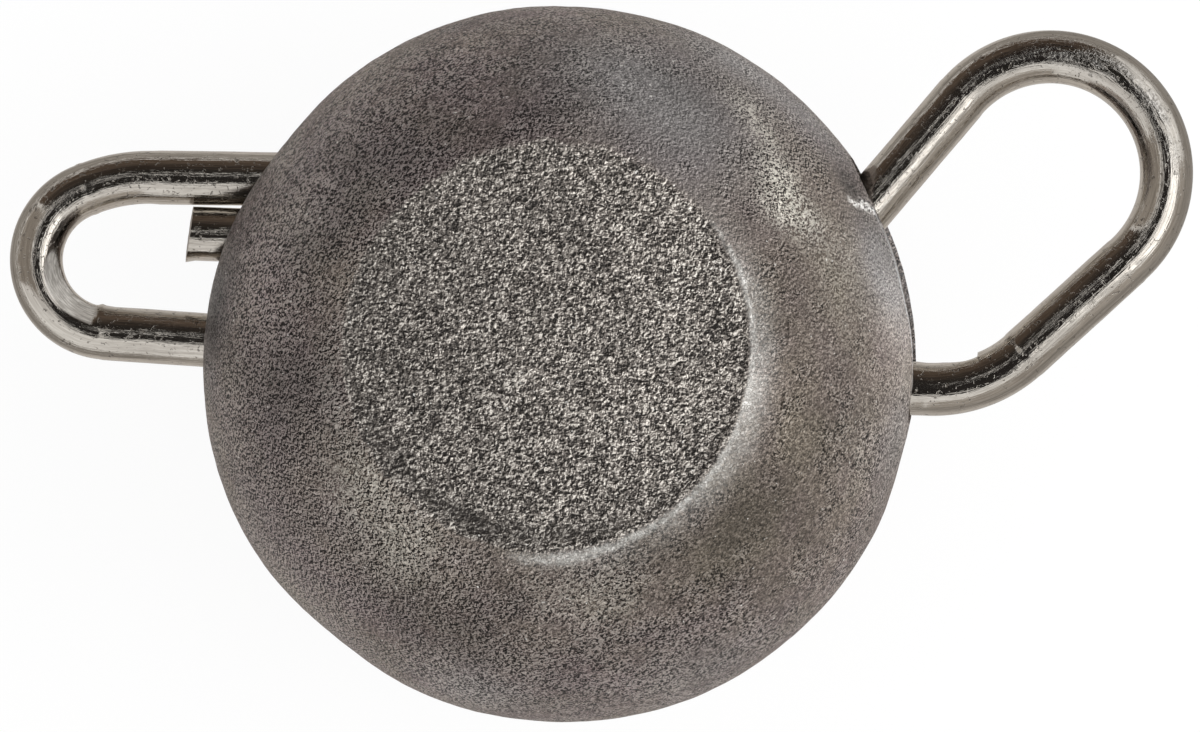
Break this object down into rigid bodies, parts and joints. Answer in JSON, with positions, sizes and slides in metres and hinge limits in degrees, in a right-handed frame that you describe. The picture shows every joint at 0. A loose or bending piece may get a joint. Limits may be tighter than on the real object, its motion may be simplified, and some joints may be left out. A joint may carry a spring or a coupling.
{
  "type": "fishing sinker",
  "caption": "Dismountable ball sinker: a dense pressed ball with two flat faces and a straight slot, and a bent spring-wire clip with a narrow line eye and a larger hook eye.",
  "frame": {"origin": "centre of the back flat, on which the ball rests", "axes": "+X along the slot from the line eye to the hook eye, +Y up the slot from the spine wire to the tail, +Z out of the front flat"},
  "size_m": [0.0215, 0.0133, 0.0107],
  "materials": {
    "sintered_metal": "matte",
    "spring_wire": "satin"
  },
  "bodies": {
    "sinker_body": {"sinker_body": "sintered_metal"},
    "wire_clip": {"wire_clip": "spring_wire"}
  },
  "joints": [
    {"name": "clip_slide", "type": "slide", "parent": "sinker_body", "child": "wire_clip", "axis": [1, 0, 0], "range_m": [0, 0.0175]}
  ]
}
